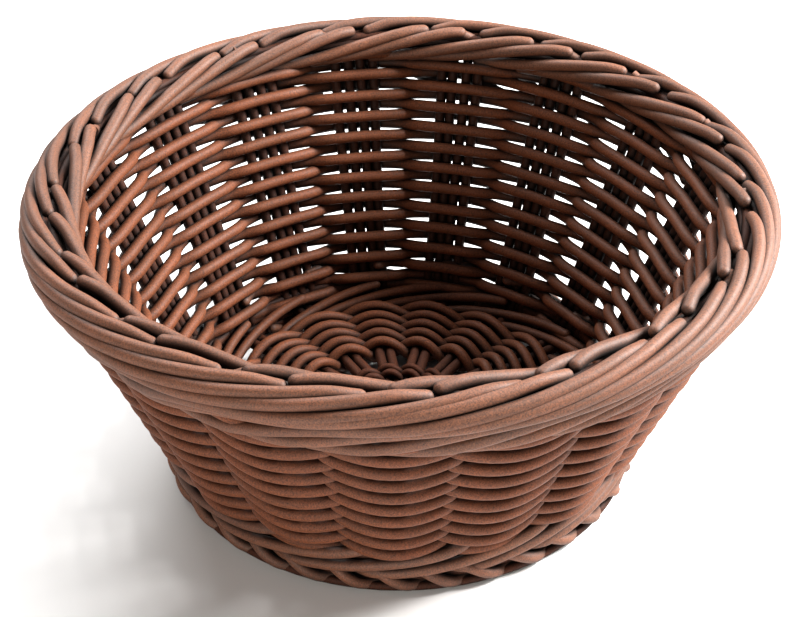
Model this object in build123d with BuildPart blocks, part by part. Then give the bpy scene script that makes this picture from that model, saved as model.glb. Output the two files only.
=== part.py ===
"""Round woven bread basket: stakes, spokes, woven rows and two rolled borders, in millimetres.

The origin is the centre of the footprint, +Z is up, and the seams of the woven rows face +X.
"""

import os
from math import atan2, cos, degrees, floor, hypot, pi, radians, sin, tan

from build123d import *

# Overall sizes
overall_diameter = 200.0
overall_height = 88.5
foot_diameter = 136.5

# Strands and how they stand together
strand_diameter = 3.0
weave_clearance = 0.15
strand_gap = 0.1  # between neighbours in a group
group_count = 17  # odd, so one weaver alternates by itself from row to row
strands_per_group = 4  # two main stakes from the foot up, with a by-stake on each side
by_stake_start = 24.0  # height of the by-stakes' lower ends
strands_per_spoke = 2
seam_gap = 0.4  # between the two cut ends of a woven row

# Rim border, a rolled ring with a flat underside that the stakes run into
rim_width = 15.6
rim_thickness = 13.6
rim_seat_depth = 1.5

# Foot border, a rolled ring that the basket stands on
foot_width = 8.4
foot_height = 12.5
foot_rounding = 2.4

# Woven base
base_level = 7.0
hub_diameter = 36.0
hub_thickness = 6.0
base_weaver_diameter = 2.4
base_weave_start = 31.0
base_weave_bend = 3.0
side_weave_bend = 10.0
bend_share = 0.98  # most of a straight run that the bends at its ends may take up

# Worked out from the sizes above
strand_radius = strand_diameter / 2
group_angle = 2 * pi / group_count
strand_pitch = strand_diameter + strand_gap
side_row_pitch = strand_diameter + weave_clearance
base_row_pitch = base_weaver_diameter + weave_clearance
rim_radius = (overall_diameter - rim_width) / 2
rim_level = overall_height - rim_thickness / 2
rim_seat = overall_height - rim_thickness + rim_seat_depth
foot_radius = (foot_diameter - foot_width) / 2
foot_inner_radius = foot_radius - foot_width / 2
wall_slope = (rim_radius - foot_radius) / (rim_level - foot_height)
wall_lean = atan2(wall_slope, 1)
base_throw = (strand_diameter + base_weaver_diameter) / 2 + weave_clearance
side_throw = (strand_diameter + weave_clearance) / cos(wall_lean)
hub_radius = hub_diameter / 2


def wall_radius(height):
    """Radius of the stakes' centre line at a height."""
    return foot_radius + wall_slope * (height - foot_height)


def export(piece, name):
    """Labels a finished piece and writes it as its own STEP file."""
    piece.part.label = name
    export_step(piece.part, f"parts/{name}.step")


def half_width(count):
    """Distance from a group's middle to its last strand's centre line."""
    return strand_pitch * (count - 1) / 2


def over_length(count, throw, radius, bend, swing):
    """Half the straight length a weaver runs past a group before it turns to the next side.

    It is the least length at which the bent corner still clears the group's last strand. Swing is
    the further turn that the row's own curve adds at the corner.
    """
    edge = half_width(count)
    reach = edge
    for _ in range(30):
        gap = 2 * radius * sin(group_angle / 2) - 2 * reach
        turn = atan2(2 * throw, max(gap, strand_radius)) + swing
        cut = bend * (1 / cos(turn / 2) - 1)
        reach = edge + max(0.0, (throw + cut - throw * cos(turn)) / sin(turn))
    return reach


def around(angle, radius, height):
    """Point on the circle of a radius, at an angle in radians."""
    return Vector(radius * cos(angle), radius * sin(angle), height)


def side_row_points(row, radius, height):
    """Corners of a weaver that passes the stake groups inside and outside by turns, in one plane."""
    reach = over_length(strands_per_group, side_throw, radius, side_weave_bend, group_angle / 2)
    seam = seam_gap / 2 / radius
    points = [around(seam, radius, height)]
    for group in range(group_count):
        middle = (group + 0.5) * group_angle
        side = 1 if (group + row) % 2 else -1
        flat = radius + side * side_throw
        spread = atan2(reach, flat)
        for turn in (middle - spread, middle + spread):
            points.append(around(turn, flat / cos(spread), height))
    points.append(around(2 * pi - seam, radius, height))
    return points


def base_row_points(row, radius):
    """Corners of a weaver that passes over and under the spoke pairs by turns, round one circle."""
    reach = over_length(strands_per_spoke, base_throw, radius, base_weave_bend, 0)
    seam = seam_gap / 2 / radius
    points = [around(seam, radius, base_level)]
    for group in range(group_count):
        middle = (group + 0.5) * group_angle
        side = 1 if (group + row) % 2 else -1
        spread = atan2(reach, radius)
        for turn in (middle - spread, middle + spread):
            points.append(around(turn, radius, base_level + side * base_throw))
    points.append(around(2 * pi - seam, radius, base_level))
    return points


def bend_with_room(points, bend):
    """The bend radius, or the largest one that the straight runs beside each corner have room for."""
    last = len(points) - 2
    for k in range(1, last + 1):
        before = points[k] - points[k - 1]
        after = points[k + 1] - points[k]
        room_before = before.length / (1 if k == 1 else 2)
        room_after = after.length / (1 if k == last else 2)
        turn = radians(before.get_angle(after))
        bend = min(bend, bend_share * min(room_before, room_after) / tan(turn / 2))
    return bend


def strand_along(points, bend, diameter):
    """Round strand swept along straight runs joined by tangent arcs."""
    with BuildPart() as strand:
        with BuildLine() as path:
            FilletPolyline(*points, radius=bend_with_room(points, bend))
        with BuildSketch(Plane(origin=path.line @ 0, z_dir=path.line % 0)):
            Circle(diameter / 2)
        sweep(path=path.line)
    return strand


def rolled_rim():
    """Ring of the rolled rim border, cut flat underneath where the stakes run in."""
    with BuildPart() as rim:
        with BuildSketch(Plane.XZ):
            with Locations((rim_radius, rim_level)):
                Ellipse(rim_width / 2, rim_thickness / 2)
            with Locations((rim_radius, rim_seat)):
                Rectangle(rim_width, rim_thickness, align=(Align.CENTER, Align.MAX), mode=Mode.SUBTRACT)
        revolve(axis=Axis.Z)
    return rim


def rolled_foot():
    """Ring of the rolled foot border, flat below to stand on and flat above under the stakes."""
    with BuildPart() as foot:
        with BuildSketch(Plane.XZ):
            with Locations((foot_radius, foot_height / 2)):
                RectangleRounded(foot_width, foot_height, foot_rounding)
        revolve(axis=Axis.Z)
    return foot


def stake_group(group):
    """Main stakes of one group, leaning with the wall from the foot to the rim, and their by-stakes."""
    middle = (group + 0.5) * group_angle
    root = Plane(
        origin=around(middle, wall_radius(foot_height), foot_height),
        x_dir=around(middle + pi / 2, 1, 0),
        z_dir=around(middle, wall_slope, 1),
    )
    lean_length = hypot(1, wall_slope)
    run = (rim_seat - foot_height) * lean_length
    spare = strand_diameter
    outermost = half_width(strands_per_group)
    with BuildPart() as stakes:
        with BuildSketch(root.offset(-spare)):
            with GridLocations(strand_pitch, 0, strands_per_group - 2, 1):
                Circle(strand_radius)
        extrude(amount=run + 2 * spare)
        split(bisect_by=Plane.XY.offset(foot_height), keep=Keep.TOP)
        with BuildSketch(root.offset((by_stake_start - foot_height) * lean_length)):
            with Locations((-outermost, 0), (outermost, 0)):
                Circle(strand_radius)
        extrude(amount=run)
        split(bisect_by=Plane.XY.offset(rim_seat), keep=Keep.BOTTOM)
    return stakes


def spoke_fan():
    """Pairs of spokes that run from the hub's rim to the foot border's inner wall."""
    spoke_offset = half_width(strands_per_spoke)
    with BuildPart() as spokes:
        with PolarLocations(0, group_count, start_angle=degrees(group_angle) / 2):
            with Locations((0, spoke_offset, base_level), (0, -spoke_offset, base_level)):
                Cylinder(
                    strand_radius,
                    foot_radius,
                    rotation=(0, 90, 0),
                    align=(Align.CENTER, Align.CENTER, Align.MIN),
                )
        Cylinder(foot_inner_radius, overall_height, mode=Mode.INTERSECT)
        Cylinder(hub_radius, overall_height, mode=Mode.SUBTRACT)
    return spokes


def spoke_hub():
    """Disc that stands for the crossed bundles of spokes at the middle of the base."""
    with BuildPart() as hub:
        with BuildSketch(Plane.XY.offset(base_level - hub_thickness / 2)):
            Circle(hub_radius)
        extrude(amount=hub_thickness)
        fillet(hub.edges(), radius=strand_radius / 3)
    return hub


def main():
    os.makedirs("parts", exist_ok=True)
    export(spoke_hub(), "base_centre")
    export(spoke_fan(), "base_spokes")
    export(rolled_foot(), "foot_border")
    export(rolled_rim(), "rim_border")
    for group in range(group_count):
        export(stake_group(group), f"stake_group_{group + 1:02d}")

    base_room = foot_inner_radius - base_weaver_diameter - base_weave_start
    for row in range(floor(base_room / base_row_pitch) + 1):
        points = base_row_points(row, base_weave_start + row * base_row_pitch)
        strand = strand_along(points, base_weave_bend, base_weaver_diameter)
        export(strand, f"base_weaver_{row + 1:02d}")

    lowest = foot_height + strand_radius + weave_clearance
    highest = rim_seat - strand_radius - weave_clearance
    for row in range(floor((highest - lowest) / side_row_pitch) + 1):
        height = lowest + row * side_row_pitch
        points = side_row_points(row, wall_radius(height), height)
        strand = strand_along(points, side_weave_bend, strand_diameter)
        export(strand, f"side_weaver_{row + 1:02d}")


main()
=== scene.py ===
import math
import random

import bmesh
import bpy
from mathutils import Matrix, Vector


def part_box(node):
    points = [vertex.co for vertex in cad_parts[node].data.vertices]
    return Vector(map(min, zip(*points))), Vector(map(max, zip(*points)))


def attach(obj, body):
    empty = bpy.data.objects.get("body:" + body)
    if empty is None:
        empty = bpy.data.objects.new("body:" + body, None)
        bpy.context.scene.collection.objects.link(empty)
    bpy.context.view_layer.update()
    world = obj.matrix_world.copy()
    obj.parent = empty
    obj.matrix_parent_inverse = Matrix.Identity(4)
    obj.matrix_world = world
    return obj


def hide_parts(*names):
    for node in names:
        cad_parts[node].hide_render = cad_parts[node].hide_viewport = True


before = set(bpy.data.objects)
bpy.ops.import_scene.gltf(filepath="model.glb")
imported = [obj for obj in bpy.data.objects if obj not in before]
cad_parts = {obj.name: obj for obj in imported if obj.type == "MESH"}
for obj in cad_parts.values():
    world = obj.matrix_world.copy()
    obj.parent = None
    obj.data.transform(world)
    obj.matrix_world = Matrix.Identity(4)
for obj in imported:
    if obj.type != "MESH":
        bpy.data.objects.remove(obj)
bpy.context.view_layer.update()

bl_info = {
    "name": "Woven wicker basket",
    "version": (1, 0, 0),
    "blender": (4, 5, 0),
    "location": "3D View > Sidebar > Basket",
    "description": "Builds the strands of a round woven basket over its packed frame",
    "category": "Object",
}

NODES = sorted(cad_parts)
_, RIM_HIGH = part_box("rim_border")
_, FOOT_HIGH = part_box("foot_border")
MM = 0.001
RIM_HALF_WIDTH = 7.8 * MM
RIM_HALF_HEIGHT = 6.8 * MM
FOOT_HALF_WIDTH = 4.2 * MM
FOOT_HALF_HEIGHT = 4.6 * MM
GROUPS = 17
STEP = 2 * math.pi / GROUPS
SEED = 17


def first_group_angle():
    """Angle of the first stake group, from where its node stands."""
    low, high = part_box("stake_group_01")
    return math.atan2(low.y + high.y, low.x + high.x)


FIRST_ANGLE = first_group_angle()


class BasketSizes(bpy.types.PropertyGroup):
    """Sizes of the strands and of the borders that they make."""

    weaver: bpy.props.FloatProperty(
        name="Side weaver", description="Diameter of the strand woven round the side",
        default=3.4 * MM, unit="LENGTH")
    base_weaver: bpy.props.FloatProperty(
        name="Base weaver", description="Diameter of the paired strands of the base",
        default=3.0 * MM, unit="LENGTH")
    stake: bpy.props.FloatProperty(
        name="Stake", description="Diameter of the upright stakes and of the spokes",
        default=3.1 * MM, unit="LENGTH")
    border: bpy.props.FloatProperty(
        name="Border strand", description="Diameter of the strands of the rim",
        default=3.3 * MM, unit="LENGTH")
    foot_strand: bpy.props.FloatProperty(
        name="Foot strand", description="Diameter of the strands of the foot",
        default=3.2 * MM, unit="LENGTH")
    row_pitch: bpy.props.FloatProperty(
        name="Row pitch", description="Distance from row to row, along the side",
        default=3.18 * MM, unit="LENGTH")
    side_start: bpy.props.FloatProperty(
        name="Side start", description="Height of the first woven row of the side",
        default=9.6 * MM, unit="LENGTH")
    side_end: bpy.props.FloatProperty(
        name="Side end", description="Height of the last woven row of the side",
        default=78.6 * MM, unit="LENGTH")
    rim_level: bpy.props.FloatProperty(
        name="Rim level", description="Height of the middle of the rolled rim",
        default=RIM_HIGH.z - RIM_HALF_HEIGHT, unit="LENGTH")
    rim_radius: bpy.props.FloatProperty(
        name="Rim radius", description="Radius of the middle of the rolled rim",
        default=RIM_HIGH.x - RIM_HALF_WIDTH, unit="LENGTH")
    foot_radius: bpy.props.FloatProperty(
        name="Foot radius", description="Radius of the middle of the foot border",
        default=FOOT_HIGH.x - FOOT_HALF_WIDTH, unit="LENGTH")
    foot_height: bpy.props.FloatProperty(
        name="Foot height", description="Height of the foot border",
        default=FOOT_HIGH.z, unit="LENGTH")
    base_level: bpy.props.FloatProperty(
        name="Base level", description="Height of the spokes of the base",
        default=7.6 * MM, unit="LENGTH")


class BasketColours(bpy.types.PropertyGroup):
    """Colours of the strands."""

    border: bpy.props.FloatVectorProperty(
        name="Border", description="Colour of the border strands", subtype="COLOR",
        size=3, default=(0.078, 0.0300, 0.0140), min=0, max=1)
    weaver: bpy.props.FloatVectorProperty(
        name="Weaver", description="Colour of the woven strands", subtype="COLOR",
        size=3, default=(0.080, 0.0250, 0.0090), min=0, max=1)
    stake: bpy.props.FloatVectorProperty(
        name="Stake", description="Colour of the stakes and spokes", subtype="COLOR",
        size=3, default=(0.042, 0.0130, 0.0055), min=0, max=1)


def sizes():
    """The sizes as the sidebar has them."""
    return bpy.context.scene.basket_sizes


def on_circle(angle, radius, height):
    """Point at an angle on a circle round the basket's axis."""
    return Vector((radius * math.cos(angle), radius * math.sin(angle), height))


def group_angle(group):
    """Angle of the middle of a stake group."""
    return FIRST_ANGLE + group * STEP


def smooth(low, high, value):
    """0 below low, 1 above high, and an even curve between them."""
    t = min(1.0, max(0.0, (value - low) / (high - low)))
    return t * t * (3 - 2 * t)


class Wall:
    """The leaning surface that the stakes stand in, from the foot to the rim."""

    def __init__(self):
        s = sizes()
        self.low = Vector((s.foot_radius, 0, s.foot_height))
        self.slope = (s.rim_radius - s.foot_radius) / (s.rim_level - s.foot_height)
        self.lean = math.atan(self.slope)

    def radius(self, height):
        return self.low.x + (height - self.low.z) * self.slope

    def point(self, angle, height, out=0.0):
        """Point at an angle and height, moved out along the wall's own normal."""
        return on_circle(
            angle,
            self.radius(height) + out * math.cos(self.lean),
            height - out * math.sin(self.lean))


# Strands


def rounded_ends(points, thickness, start, end):
    """Points and thickness factors of a strand whose named ends are rounded off."""
    factors = [1.0] * len(points)
    for at_end, wanted in ((False, start), (True, end)):
        if not wanted:
            continue
        tip, before = (points[-1], points[-2]) if at_end else (points[0], points[1])
        along = (tip - before).normalized() * thickness / 2
        reaches = (0.35, 0.65, 0.87, 0.975)
        cap = [(tip + along * reach, math.sqrt(1 - reach * reach)) for reach in reaches]
        if at_end:
            points = points + [p for p, _ in cap]
            factors = factors + [f for _, f in cap]
        else:
            points = [p for p, _ in reversed(cap)] + points
            factors = [f for _, f in reversed(cap)] + factors
    return points, factors


def strand_mesh(points, thickness, sides, closed=False, start=True, end=True):
    """Mesh of one round strand along a line of points."""
    factors = [1.0] * len(points)
    if not closed:
        points, factors = rounded_ends(list(points), thickness, start, end)
    curve = bpy.data.curves.new("strand", "CURVE")
    curve.dimensions = "3D"
    curve.bevel_depth = thickness / 2
    curve.bevel_resolution = sides
    curve.use_fill_caps = not closed
    spline = curve.splines.new("POLY")
    spline.points.add(len(points) - 1)
    for place, point, factor in zip(spline.points, points, factors):
        place.co = (*point, 1.0)
        place.radius = factor
    spline.use_cyclic_u = closed
    holder = bpy.data.objects.new("strand", curve)
    mesh = bpy.data.meshes.new_from_object(holder)
    bpy.data.objects.remove(holder)
    bpy.data.curves.remove(curve)
    return mesh


def build_strands(name, strands, slot, replaced):
    """Joins strands into one piece, each with its own tone.

    Each strand is (points, thickness, tone, options for strand_mesh).
    """
    joined = bmesh.new()
    tone_layer = joined.verts.layers.float.new("tone")
    for points, thickness, tone, options in strands:
        settings = {"sides": 4}
        settings.update(options)
        mesh = strand_mesh(points, thickness, **settings)
        known = len(joined.verts)
        joined.from_mesh(mesh)
        joined.verts.ensure_lookup_table()
        for vert in joined.verts[known:]:
            vert[tone_layer] = tone
        bpy.data.meshes.remove(mesh)
    bmesh.ops.recalc_face_normals(joined, faces=joined.faces)
    for face in joined.faces:
        face.smooth = True
    mesh = bpy.data.meshes.new(name)
    joined.to_mesh(mesh)
    joined.free()
    piece = bpy.data.objects.new(name, mesh)
    bpy.context.scene.collection.objects.link(piece)
    mesh.materials.append(strand_material(slot))
    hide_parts(*replaced)
    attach(piece, "root")
    return piece


def strand_material(slot):
    """Satin extruded strand: soft streaks, fine specks, a tone of its own for each strand, and
    painted shade in the crevices between strands.
    """
    name = f"satin_{slot}"
    if name in bpy.data.materials:
        return bpy.data.materials[name]
    colours = bpy.context.scene.basket_colours
    colour = {
        "border_strand": colours.border,
        "weaver_strand": colours.weaver,
        "stake_strand": colours.stake,
    }[slot]
    material = bpy.data.materials.new(name)
    material.use_nodes = True
    nodes, links = material.node_tree.nodes, material.node_tree.links
    shader = nodes["Principled BSDF"]
    place = nodes.new("ShaderNodeTexCoord")
    tone = nodes.new("ShaderNodeAttribute")
    tone.attribute_name = "tone"

    def noise(scale, detail, rough):
        node = nodes.new("ShaderNodeTexNoise")
        node.inputs["Scale"].default_value = scale
        node.inputs["Detail"].default_value = detail
        node.inputs["Roughness"].default_value = rough
        links.new(place.outputs["Object"], node.inputs["Vector"])
        return node

    def spread(source, low, high, start=0.0, end=1.0):
        node = nodes.new("ShaderNodeMapRange")
        node.inputs["From Min"].default_value = start
        node.inputs["From Max"].default_value = end
        node.inputs["To Min"].default_value = low
        node.inputs["To Max"].default_value = high
        links.new(source, node.inputs["Value"])
        return node

    def times(one, two):
        node = nodes.new("ShaderNodeMath")
        node.operation = "MULTIPLY"
        links.new(one, node.inputs[0])
        links.new(two, node.inputs[1])
        return node

    patches = noise(90, 3, 0.55)
    specks = noise(2600, 2, 0.6)
    patch_shade = spread(patches.outputs["Fac"], 0.76, 1.24)
    speck_shade = spread(specks.outputs["Fac"], 0.30, 1.70, 0.25, 0.75)
    tone_shade = spread(tone.outputs["Fac"], 0.84, 1.16)
    # Painted shade: an ambient occlusion node darkens the base colour in the crevices and gaps
    # between strands, and lightens it a little on open surfaces.
    crevice_occlusion = nodes.new("ShaderNodeAmbientOcclusion")
    crevice_occlusion.samples = 4
    crevice_occlusion.inputs["Distance"].default_value = 5 * MM
    painted_crevice_shade = spread(crevice_occlusion.outputs["AO"], 0.04, 1.25, 0.25, 0.92)
    # The colour's multiplier is the streaks, specks and strand tone times the painted crevice
    # shade.
    shade = times(patch_shade.outputs[0], speck_shade.outputs[0])
    shade = times(shade.outputs[0], tone_shade.outputs[0])
    shade = times(shade.outputs[0], painted_crevice_shade.outputs[0])
    tint = nodes.new("ShaderNodeMix")
    tint.data_type = "RGBA"
    tint.inputs["A"].default_value = (*colour, 1)
    warm = (colour[0] * 1.12, colour[1] * 0.94, colour[2] * 0.84, 1)
    tint.inputs["B"].default_value = warm
    links.new(patches.outputs["Fac"], tint.inputs["Factor"])
    shaded = nodes.new("ShaderNodeVectorMath")
    shaded.operation = "SCALE"
    links.new(tint.outputs["Result"], shaded.inputs[0])
    links.new(shade.outputs[0], shaded.inputs["Scale"])
    links.new(shaded.outputs[0], shader.inputs["Base Color"])
    gloss = spread(noise(700, 3, 0.6).outputs["Fac"], 0.56, 0.74)
    links.new(gloss.outputs[0], shader.inputs["Roughness"])
    bump = nodes.new("ShaderNodeBump")
    bump.inputs["Strength"].default_value = 0.18
    bump.inputs["Distance"].default_value = 0.0001
    links.new(noise(1500, 4, 0.65).outputs["Fac"], bump.inputs["Height"])
    links.new(bump.outputs["Normal"], shader.inputs["Normal"])
    shader.inputs["Specular IOR Level"].default_value = {
        "border_strand": 0.44, "weaver_strand": 0.26, "stake_strand": 0.15}[slot]
    return material


# Pieces


def rim_point(angle, turn, swell=1.0):
    """Point on the rolled rim; turn is 0 at its outer face, 90 degrees at its top."""
    s = sizes()
    wide = (RIM_HALF_WIDTH - s.border / 2) * swell
    tall = (RIM_HALF_HEIGHT - s.border / 2) * swell
    radius = s.rim_radius + wide * math.cos(turn)
    return on_circle(angle, radius, s.rim_level + tall * math.sin(turn))


def through(knots, t):
    """Value at t of the even curve through knots, each a place from 0 to 1 and a point."""
    last = len(knots) - 2
    k = min(last, max(i for i in range(len(knots)) if knots[i][0] <= t))
    low, high = knots[k], knots[k + 1]
    before, after = knots[max(k - 1, 0)], knots[min(k + 2, last + 1)]
    width = high[0] - low[0]
    u = (t - low[0]) / width
    leave = (high[1] - before[1]) * (width / (high[0] - before[0]))
    arrive = (after[1] - low[1]) * (width / (after[0] - low[0]))
    return (
        low[1] * (2 * u ** 3 - 3 * u ** 2 + 1) + leave * (u ** 3 - 2 * u ** 2 + u)
        + high[1] * (3 * u ** 2 - 2 * u ** 3) + arrive * (u ** 3 - u ** 2))


def rim_section(turn, swell=1.0):
    """Radius and height of a point of the rolled rim, as a vector without its angle."""
    point = rim_point(0, math.radians(turn), swell)
    return Vector((point.x, point.z))


def wall_section(height, out):
    """Radius and height of a point at a distance outside the wall's middle."""
    point = Wall().point(0, height, out)
    return Vector((point.x, point.z))


def section_strand(knots, first, span, steps):
    """Points of a strand that follows a curve of sections while it goes round the axis."""
    points = []
    for step in range(steps + 1):
        t = step / steps
        section = through(knots, t)
        points.append(on_circle(first + span * t, section.x, section.y))
    return points


def rim_outer_strands(chance):
    """Strands that rise from the wall round the outside of the rim, up to its groove."""
    s = sizes()
    strands = []
    for group in range(GROUPS):
        for side in (-1, 1):
            shift = 0.7 + side * 4.2 + chance.uniform(-1.0, 1.0)
            tip = group_angle(group) + math.radians(shift)
            span = math.radians(72 + chance.uniform(-3, 3))
            sway = chance.uniform(-2.5, 2.5)
            knots = (
                (0.0, wall_section(67.5 * MM, 1.6 * MM)),
                (0.14, wall_section(71.5 * MM, 4.2 * MM)),
                (0.34, rim_section(-36 + sway)),
                (0.52, rim_section(-4 + sway)),
                (0.70, rim_section(28 + sway)),
                (0.85, rim_section(56)),
                (0.94, rim_section(76, 0.96)),
                (1.0, rim_section(93, 0.64)))
            points = section_strand(knots, tip - span, span, 56)
            strands.append((points, s.border, chance.random(), {}))
    return strands


def rim_inner_strands(chance):
    """Strands whose heads hook up from the rim's groove and that go down its inner side."""
    s = sizes()
    strands = []
    for group in range(GROUPS):
        for side in (-1, 1):
            shift = 3.7 + side * 3.6 + chance.uniform(-1.0, 1.0)
            head = group_angle(group) + math.radians(shift)
            span = math.radians(31 + chance.uniform(-2, 2))
            knots = (
                (0.0, rim_section(112, 0.84)),
                (0.07, rim_section(122, 0.97)),
                (0.17, rim_section(136, 1.03)),
                (0.40, rim_section(164, 1.0)),
                (0.70, rim_section(200, 1.0)),
                (1.0, rim_section(240, 0.96)))
            points = section_strand(knots, head, span, 44)
            strands.append((points, s.border * 1.04, chance.random(), {}))
    return strands


def rim_cut_ends(chance):
    """Short cut ends of strands that show in the rim's groove."""
    s = sizes()
    strands = []
    for group in range(GROUPS):
        angle = group_angle(group) + math.radians(chance.uniform(-4, 4))
        lean = chance.uniform(-14, 14)
        knots = (
            (0.0, rim_section(100 + lean, 0.30)),
            (0.5, rim_section(104 + lean, 0.52)),
            (1.0, rim_section(108 + lean, 0.72)))
        points = section_strand(knots, angle, math.radians(2.6), 5)
        tone = 0.9 + 0.1 * chance.random()
        strands.append((points, s.stake, tone, {"start": False, "end": False}))
    return strands


def rim_core_strands(chance):
    """Strands bent round inside the rim, which fill its middle."""
    s = sizes()
    strands = []
    steps = 120
    for turn in range(0, 360, 60):
        points = [
            rim_point(2 * math.pi * k / steps, math.radians(turn), 0.33) for k in range(steps)]
        strands.append((points, s.stake, chance.random() * 0.3, {"closed": True}))
    return strands


def stake_strands(group, chance):
    """The strands of one stake group, which fan out a little towards the rim."""
    s = sizes()
    wall = Wall()
    middle = group_angle(group)
    strands = []
    top = s.rim_level - 3 * MM
    for place in range(4):
        across = place - 1.5
        inner = abs(across) < 1
        bottom = s.base_level if inner else 9.5 * MM + chance.uniform(-1, 1) * MM
        sway = chance.uniform(-0.55, 0.55) * MM
        points = []
        steps = 26
        for step in range(steps + 1):
            t = step / steps
            height = bottom + (top - bottom) * t
            rise = smooth(20 * MM, 75 * MM, height)
            spread = across * (s.stake * 0.99 + 0.78 * MM * rise)
            spread += sway * math.sin(3 * t + place)
            angle = middle + spread / wall.radius(height)
            points.append(wall.point(angle, height))
        if inner:
            foot = points[0].copy()
            foot.z = 0
            radius = foot.length
            run = 7 * MM
            lead = []
            for k in range(6):
                r = radius - run + run * k / 6
                lead.append(on_circle(math.atan2(foot.y, foot.x), r, s.base_level - 0.2 * MM))
            points = lead + points[1:]
        strands.append((points, s.stake, chance.random(), {"start": not inner}))
    return strands


def side_weaver_points():
    """One long strand that climbs round the side, outside and inside the stake groups by turns."""
    s = sizes()
    wall = Wall()
    throw = (s.weaver + s.stake) / 2
    rise = s.row_pitch * math.cos(wall.lean)
    turns = (s.side_end - s.side_start) / rise
    steps = 12
    jog_height = 0.34
    jog_throw = 0.04
    tucked = 0.25
    chance = random.Random(SEED + 5)
    count = int(turns * GROUPS)
    points = []
    nudge = [chance.uniform(-1, 1) for _ in range(count + 2)]
    for crossing in range(count):
        for step in range(steps):
            t = crossing + step / steps
            wave = math.cos(math.pi * t)
            shape = wave ** 0.9 if wave > 0 else math.tanh(2.1 * wave) / math.tanh(2.1)
            angle = FIRST_ANGLE + t * STEP
            height = s.side_start + rise * t / GROUPS
            blend = step / steps
            jog = nudge[crossing] * (1 - blend) + nudge[crossing + 1] * blend
            height += jog * jog_height * MM
            out = throw * shape * (1 + jog_throw * jog)
            if out > 0:
                out *= tucked + (1 - tucked) * smooth(12.5 * MM, 16.5 * MM, height)
            points.append(wall.point(angle, height, out))
    return points


def wale_strands(chance):
    """Long strands that sweep round the foot, each rising over the next one's start."""
    s = sizes()
    strands = []
    for group in range(GROUPS):
        head = group_angle(group) - STEP / 2 + math.radians(chance.uniform(-1.5, 1.5))
        span = math.radians(52 + chance.uniform(-3, 3))
        lift = chance.uniform(-0.4, 0.4) * MM
        foot = s.foot_radius
        knots = (
            (0.0, Vector((foot - 1.2 * MM, 6.2 * MM))),
            (0.12, Vector((foot + 1.6 * MM, 6.5 * MM))),
            (0.30, Vector((foot + 2.6 * MM, 8.3 * MM + lift))),
            (0.55, Vector((foot + 3.1 * MM, 11.0 * MM + lift))),
            (0.78, Vector((foot + 3.7 * MM, 14.0 * MM + lift))),
            (0.90, Vector((foot + 3.0 * MM, 15.9 * MM + lift))),
            (1.0, Vector((foot - 0.5 * MM, 17.2 * MM + lift))))
        points = section_strand(knots, head, span, 44)
        strands.append((points, s.foot_strand, chance.random(), {}))
    return strands


def foot_twist_strands(chance):
    """Short strands that slant steeply down the foot and turn in under it."""
    s = sizes()
    strands = []
    for group in range(GROUPS):
        for side in (-1, 1):
            head = group_angle(group) + math.radians(side * 5.2 + chance.uniform(-0.9, 0.9))
            span = math.radians(17 + chance.uniform(-1.5, 1.5))
            points = []
            steps = 26
            for step in range(steps + 1):
                t = step / steps
                turn = math.radians(74 - 246 * t)
                wide = FOOT_HALF_WIDTH - s.foot_strand / 2
                tall = FOOT_HALF_HEIGHT - s.foot_strand / 2
                radius = s.foot_radius + wide * math.cos(turn)
                height = FOOT_HALF_HEIGHT + tall * math.sin(turn)
                points.append(on_circle(head + span * t, radius, max(height, s.foot_strand / 2)))
            strands.append((points, s.foot_strand, chance.random(), {}))
    return strands


def foot_core_strands(chance):
    """Strands that run round inside the foot."""
    s = sizes()
    strands = []
    rings = ((1.2, 1.5), (-0.6, 3.6), (-0.9, 6.2), (-0.6, 8.8), (-0.2, 11.4))
    steps = 110
    for radius, height in rings:
        points = [
            on_circle(2 * math.pi * k / steps, s.foot_radius + radius * MM, height * MM)
            for k in range(steps)]
        strands.append((points, 2.6 * MM, chance.random() * 0.4, {"closed": True}))
    return strands


def base_weaver_strands(chance):
    """Rows of the base, each a pair of strands that twist past each other between the spokes."""
    s = sizes()
    strands = []
    rows = (31.4, 36.0, 40.6, 45.2, 49.8)
    steps = 12
    throw = (s.stake + s.base_weaver) / 2
    for row in rows:
        points = []
        for step in range(2 * GROUPS * steps):
            t = step / steps
            up = math.cos(math.pi * t)
            cross = math.sin(math.pi * t)
            angle = FIRST_ANGLE + t * STEP
            shape = math.copysign(abs(up) ** 0.9, up)
            lift = 0.5 * MM * smooth(44, 50, row)
            points.append(on_circle(
                angle, row * MM + 1.0 * MM * cross, s.base_level + throw * shape + lift))
        strands.append((points, s.base_weaver, chance.random(), {"closed": True}))
    return strands


def corner_strands(chance):
    """Long strands that climb from the base's edge to the foot of the side, inside the stakes."""
    s = sizes()
    strands = []
    for group in range(GROUPS):
        head = group_angle(group) + math.radians(chance.uniform(-3, 3))
        span = math.radians(44 + chance.uniform(-5, 5))
        out = chance.uniform(-0.5, 0.5) * MM
        knots = (
            (0.0, Vector((60.2 * MM + out, s.base_level + 4.4 * MM))),
            (0.20, Vector((58.8 * MM + out, s.base_level + 3.6 * MM))),
            (0.55, Vector((56.4 * MM + out, s.base_level + 1.6 * MM))),
            (0.85, Vector((54.2 * MM + out, s.base_level + 0.2 * MM))),
            (1.0, Vector((53.2 * MM, s.base_level - 1.6 * MM))))
        points = section_strand(knots, head, span, 26)
        strands.append((points, s.stake * 0.95, 0.4 * chance.random(), {}))
    return strands


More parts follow.
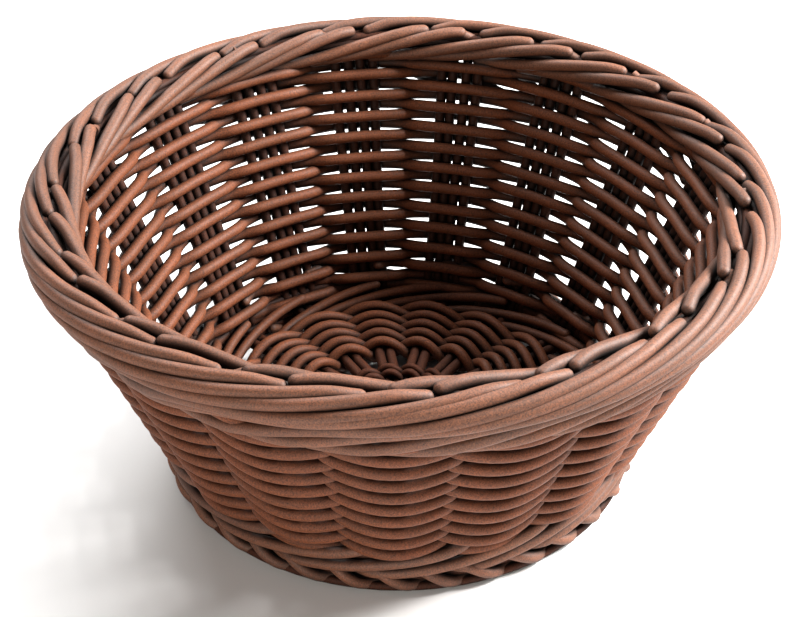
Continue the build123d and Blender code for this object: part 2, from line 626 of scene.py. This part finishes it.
def spoke_strands(chance):
    """Pairs of spokes from the middle of the base to its edge."""
    s = sizes()
    inner_end = 17 * MM
    outer_end = s.foot_radius - 5 * MM
    strands = []
    for group in range(GROUPS):
        for side in (-1, 1):
            points = []
            steps = 12
            for step in range(steps + 1):
                t = step / steps
                radius = inner_end + (outer_end - inner_end) * t
                offset = side * s.stake * (0.50 + 0.03 * t)
                angle = group_angle(group) + math.atan2(offset, radius)
                height = s.base_level + chance.uniform(-0.08, 0.08) * MM
                points.append(on_circle(angle, radius, height))
            strands.append((points, s.stake, chance.random(), {}))
    return strands


def hub_strands(chance):
    """Rods that cross in the middle of the base, bound by paired rows."""
    s = sizes()
    hub_radius = 17.5 * MM
    rod_pitch = 3.0
    strands = []
    for level, count, sideways in ((-1, 9, False), (1, 8, True)):
        for rod in range(count):
            offset = (rod - (count - 1) / 2) * rod_pitch * MM
            reach = math.sqrt(hub_radius ** 2 - offset ** 2)
            points = []
            for step in range(11):
                run = -reach + 2 * reach * step / 10
                flat = 1 - smooth(0.6, 1.0, abs(run) / reach)
                height = s.base_level + level * 1.4 * MM * flat
                across = (run, offset) if sideways else (offset, run)
                points.append(Vector((*across, height)))
            strands.append((points, 2.9 * MM, chance.random(), {}))
    for row in (16.2, 18.9):
        points = []
        for step in range(2 * GROUPS * 12):
            t = step / 12
            wave = math.cos(math.pi * t)
            points.append(on_circle(
                FIRST_ANGLE + t * STEP, row * MM + 0.7 * MM * math.sin(math.pi * t),
                s.base_level + 2.5 * MM * math.copysign(abs(wave) ** 0.8, wave)))
        strands.append((points, 2.2 * MM, chance.random(), {"closed": True}))
    return strands


def nodes_named(start):
    """Names of the frame's nodes that start with a word."""
    return [name for name in NODES if name.startswith(start)]


class BASKET_OT_stakes(bpy.types.Operator):
    """Stands the stake groups round the side"""

    bl_idname = "basket.stakes"
    bl_label = "Stakes"

    def execute(self, context):
        chance = random.Random(SEED + 1)
        for group in range(GROUPS):
            number = f"{group + 1:02d}"
            strands = stake_strands(group, chance)
            build_strands(
                f"stakes_{number}", strands, "stake_strand", [f"stake_group_{number}"])
        return {"FINISHED"}


class BASKET_OT_side_weaver(bpy.types.Operator):
    """Weaves the side with one long strand"""

    bl_idname = "basket.side_weaver"
    bl_label = "Side weaver"

    def execute(self, context):
        points = side_weaver_points()
        strands = [(points, sizes().weaver, 0.5, {})]
        build_strands("side_weave", strands, "weaver_strand", nodes_named("side_weaver"))
        return {"FINISHED"}


class BASKET_OT_rim(bpy.types.Operator):
    """Rolls the rim border from its strands"""

    bl_idname = "basket.rim"
    bl_label = "Rim border"

    def execute(self, context):
        chance = random.Random(SEED + 2)
        outer = rim_outer_strands(chance)
        inner = rim_inner_strands(chance) + rim_cut_ends(chance)
        core = rim_core_strands(chance)
        build_strands("rim_outer_strands", outer, "border_strand", ["rim_border"])
        build_strands("rim_inner_strands", inner, "border_strand", ["rim_border"])
        build_strands("rim_core_strands", core, "stake_strand", ["rim_border"])
        return {"FINISHED"}


class BASKET_OT_foot(bpy.types.Operator):
    """Rolls the foot border from its strands"""

    bl_idname = "basket.foot"
    bl_label = "Foot border"

    def execute(self, context):
        chance = random.Random(SEED + 3)
        wale = wale_strands(chance)
        twist = foot_twist_strands(chance)
        core = foot_core_strands(chance)
        build_strands("foot_wale_strands", wale, "border_strand", ["foot_border"])
        build_strands("foot_twist_strands", twist, "border_strand", ["foot_border"])
        build_strands("foot_core_strands", core, "stake_strand", ["foot_border"])
        return {"FINISHED"}


class BASKET_OT_base(bpy.types.Operator):
    """Lays the spokes and weaves the base"""

    bl_idname = "basket.base"
    bl_label = "Base"

    def execute(self, context):
        chance = random.Random(SEED + 4)
        spokes = spoke_strands(chance)
        hub = hub_strands(chance)
        weave = base_weaver_strands(chance) + corner_strands(chance)
        build_strands("base_spoke_strands", spokes, "stake_strand", ["base_spokes"])
        build_strands("base_hub_strands", hub, "stake_strand", ["base_centre"])
        build_strands("base_weave", weave, "weaver_strand", nodes_named("base_weaver"))
        return {"FINISHED"}


def soft_light(name, place, size, power, colour=(1, 1, 1)):
    """Square soft light that faces the middle of the basket."""
    data = bpy.data.lights.new(name, "AREA")
    data.shape = "SQUARE"
    data.size = size
    data.energy = power
    data.color = colour
    light = bpy.data.objects.new(name, data)
    light.location = place
    light.rotation_mode = "QUATERNION"
    light.rotation_quaternion = (Vector((0, 0, 0.05)) - Vector(place)).to_track_quat("-Z", "Y")
    bpy.context.scene.collection.objects.link(light)


class BASKET_OT_stage(bpy.types.Operator):
    """Lays the floor and sets the lights and the camera"""

    bl_idname = "basket.stage"
    bl_label = "Stage"

    def execute(self, context):
        floor_mesh = bpy.data.meshes.new("floor")
        built = bmesh.new()
        bmesh.ops.create_grid(built, x_segments=1, y_segments=1, size=4)
        built.to_mesh(floor_mesh)
        built.free()
        floor = bpy.data.objects.new("floor", floor_mesh)
        bpy.context.scene.collection.objects.link(floor)
        pale = bpy.data.materials.new("pale_floor")
        pale.use_nodes = True
        shader = pale.node_tree.nodes["Principled BSDF"]
        shader.inputs["Base Color"].default_value = (0.72, 0.72, 0.72, 1)
        shader.inputs["Roughness"].default_value = 0.9
        floor_mesh.materials.append(pale)
        world = bpy.data.worlds.new("studio")
        world.use_nodes = True
        world.node_tree.nodes["Background"].inputs["Color"].default_value = (1, 1, 1, 1)
        world.node_tree.nodes["Background"].inputs["Strength"].default_value = 0.24
        context.scene.world = world
        soft_light("key_light", (0.72, 0.10, 0.60), 0.36, 45.0, (1, 0.98, 0.96))
        soft_light("front_light", (-0.35, -0.85, 0.22), 0.5, 6.5, (1, 0.90, 0.80))
        soft_light("back_light", (-0.25, 0.60, 0.80), 0.5, 15.0)
        context.scene.view_settings.view_transform = "Standard"
        data = bpy.data.cameras.new("camera")
        data.sensor_width = 36
        data.lens = 78.1
        data.clip_start = 0.01
        camera = bpy.data.objects.new("camera", data)
        distance = 0.4609
        aim_height = 0.0855
        rise = math.radians(30.9)
        swing = math.radians(-3.5)
        tilt = math.radians(90 - 35.08)
        camera.location = (
            distance * math.cos(rise) * math.sin(swing),
            -distance * math.cos(rise) * math.cos(swing),
            aim_height + distance * math.sin(rise))
        camera.rotation_euler = (tilt, 0, swing)
        context.scene.collection.objects.link(camera)
        context.scene.camera = camera
        return {"FINISHED"}


STEPS = (
    BASKET_OT_base,
    BASKET_OT_foot,
    BASKET_OT_stakes,
    BASKET_OT_side_weaver,
    BASKET_OT_rim,
    BASKET_OT_stage,
)


class BASKET_PT_panel(bpy.types.Panel):
    """Sidebar panel with the basket's sizes, colours and steps"""

    bl_idname = "BASKET_PT_panel"
    bl_label = "Basket"
    bl_space_type = "VIEW_3D"
    bl_region_type = "UI"
    bl_category = "Basket"

    def draw(self, context):
        for group in (context.scene.basket_sizes, context.scene.basket_colours):
            for name in group.__annotations__:
                self.layout.prop(group, name)
        for step in STEPS:
            self.layout.operator(step.bl_idname)


CLASSES = (BasketSizes, BasketColours, *STEPS, BASKET_PT_panel)


def register():
    for cls in CLASSES:
        bpy.utils.register_class(cls)
    bpy.types.Scene.basket_sizes = bpy.props.PointerProperty(type=BasketSizes)
    bpy.types.Scene.basket_colours = bpy.props.PointerProperty(type=BasketColours)


def unregister():
    del bpy.types.Scene.basket_colours
    del bpy.types.Scene.basket_sizes
    for cls in reversed(CLASSES):
        bpy.utils.unregister_class(cls)


def main():
    register()
    for step in STEPS:
        family, name = step.bl_idname.split(".")
        getattr(getattr(bpy.ops, family), name)()


if __name__ == "__main__":
    main()
